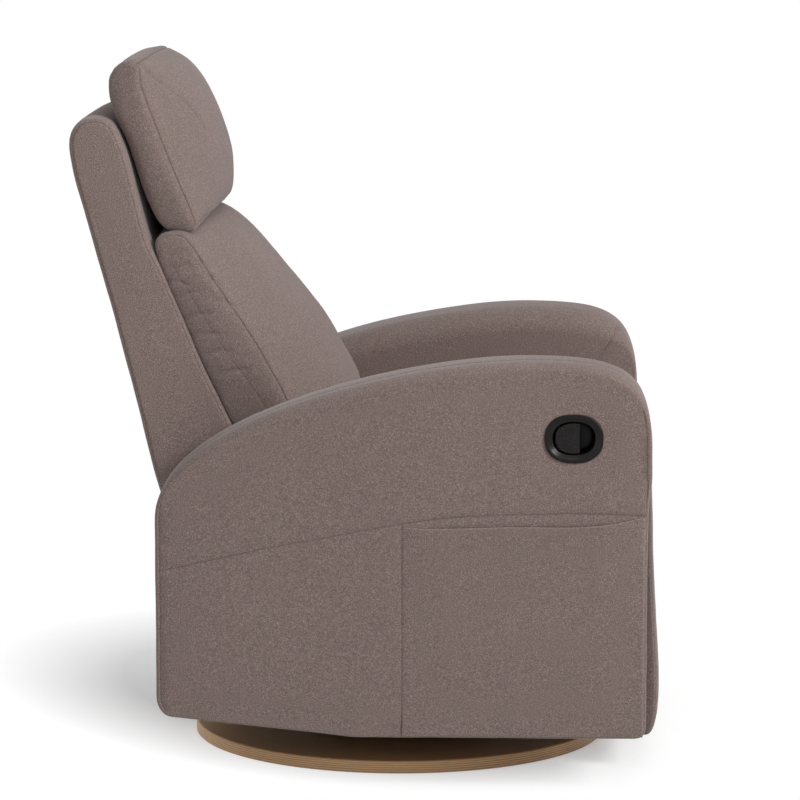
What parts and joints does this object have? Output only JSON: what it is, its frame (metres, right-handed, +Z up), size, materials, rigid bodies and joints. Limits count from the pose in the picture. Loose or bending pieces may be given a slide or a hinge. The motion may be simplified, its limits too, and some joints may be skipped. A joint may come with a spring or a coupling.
{
  "type": "swivel glider recliner",
  "caption": "Upholstered swivel glider recliner with rounded arms, headrest, side pocket, release handle, hanging glide links, reclining back and fold-out footrest on a round plywood base.",
  "frame": {"origin": "on the floor, on the swivel axis, at the centre of the round floor pad", "axes": "+Z up along the swivel axis; the sitter faces -Y; the sitter's right hand, with the release handle and the pocket, is at -X"},
  "size_m": [0.7875, 0.8204, 1.0005],
  "materials": {
    "upholstery": "matte",
    "felt": "matte",
    "plywood": "satin",
    "frame_timber": "matte",
    "black_steel": "satin",
    "zinc_steel": "satin",
    "black_plastic": "matte",
    "nylon": "satin"
  },
  "bodies": {
    "base": {"floor_pad": "felt", "base_disc": "plywood", "base_plate": "zinc_steel", "swivel_bearing": "zinc_steel", "swivel_spindle": "zinc_steel"},
    "turntable": {"swivel_plate": "black_steel", "glider_stand_right": "black_steel", "glider_stand_left": "black_steel"},
    "front_links": {"front_link_right": "zinc_steel", "front_link_left": "zinc_steel"},
    "rear_links": {"rear_link_right": "zinc_steel", "rear_link_left": "zinc_steel"},
    "chassis": {"glide_bar_right": "black_steel", "glide_bar_left": "black_steel", "arm_right": "upholstery", "arm_left": "upholstery", "arm_frame_right": "frame_timber", "arm_frame_left": "frame_timber", "seat_track_right": "black_steel", "seat_track_left": "black_steel", "side_pocket": "upholstery", "release_bezel": "black_plastic", "paddle_pin": "zinc_steel", "front_rail": "frame_timber", "rear_rail": "frame_timber", "rear_panel": "upholstery"},
    "release_paddle": {"release_paddle": "black_plastic"},
    "seat": {"rear_roller_right": "nylon", "rear_roller_left": "nylon", "front_roller_right": "nylon", "front_roller_left": "nylon", "mechanism_plate_right": "black_steel", "mechanism_plate_left": "black_steel", "seat_rail_right": "frame_timber", "seat_rail_left": "frame_timber", "seat_rail_rear": "frame_timber", "seat_rail_front": "frame_timber", "seat_cushion": "upholstery", "seat_spring_1": "zinc_steel", "seat_spring_2": "zinc_steel", "seat_spring_3": "zinc_steel", "seat_spring_4": "zinc_steel"},
    "footrest_drive": {"torque_tube": "zinc_steel", "drive_link_right": "black_steel", "drive_link_left": "black_steel"},
    "knee_links": {"knee_link_right": "black_steel", "knee_link_left": "black_steel"},
    "footrest": {"footrest_bracket_right": "black_steel", "footrest_bracket_left": "black_steel", "footrest_board": "plywood", "footrest_pad": "upholstery"},
    "back": {"back_shell": "upholstery", "back_frame": "frame_timber", "lumbar_cushion": "upholstery", "headrest": "upholstery", "back_bracket_right": "black_steel", "back_bracket_left": "black_steel", "headrest_stay_right": "black_plastic", "headrest_stay_left": "black_plastic"}
  },
  "joints": [
    {"name": "swivel", "type": "hinge", "parent": "base", "child": "turntable", "pos_m": [0, 0, 0.03], "axis": [0, 0, 1], "continuous": true},
    {"name": "glide", "type": "hinge", "parent": "turntable", "child": "front_links", "pos_m": [0, -0.11, 0.198], "axis": [-1, 0, 0], "range_deg": [-18, 18]},
    {"name": "glide_level", "type": "hinge", "parent": "front_links", "child": "chassis", "pos_m": [0, -0.11, 0.068], "axis": [-1, 0, 0], "range_deg": [-18.5, 18.5]},
    {"name": "glide_rear", "type": "hinge", "parent": "turntable", "child": "rear_links", "pos_m": [0, 0.11, 0.198], "axis": [-1, 0, 0], "range_deg": [-18.5, 18.5]},
    {"name": "release", "type": "hinge", "parent": "chassis", "child": "release_paddle", "pos_m": [-0.3845, -0.227, 0.492], "axis": [0, 0, 1], "range_deg": [0, 30], "stiffness_Nm_per_rad": 0.25, "springref_deg": -11.46},
    {"name": "seat_slide", "type": "slide", "parent": "chassis", "child": "seat", "axis": [0, -0.9945, 0.1045], "range_m": [0, 0.0502]},
    {"name": "recline", "type": "hinge", "parent": "seat", "child": "back", "pos_m": [0, 0.25, 0.33], "axis": [-1, 0, 0], "range_deg": [0, 28]},
    {"name": "footrest_open", "type": "hinge", "parent": "seat", "child": "footrest_drive", "pos_m": [0, -0.15, 0.3], "axis": [-1, 0, 0], "range_deg": [0, 38.76]},
    {"name": "footrest_knee", "type": "hinge", "parent": "footrest_drive", "child": "knee_links", "pos_m": [0, -0.265, 0.175], "axis": [-1, 0, 0], "range_deg": [-81.5, 0]},
    {"name": "footrest_tilt", "type": "hinge", "parent": "knee_links", "child": "footrest", "pos_m": [0, -0.305, 0.32], "axis": [-1, 0, 0], "range_deg": [0, 132.8]}
  ],
  "couplings": [
    {"joint": "glide_level", "follows": "glide", "ratio": -1},
    {"joint": "glide_rear", "follows": "glide", "ratio": 1},
    {"joint": "seat_slide", "follows": "recline", "m_per_rad": 0.10231},
    {"joint": "footrest_knee", "follows": "footrest_open", "ratio": -2.0896},
    {"joint": "footrest_tilt", "follows": "footrest_open", "ratio": 3.4118}
  ]
}
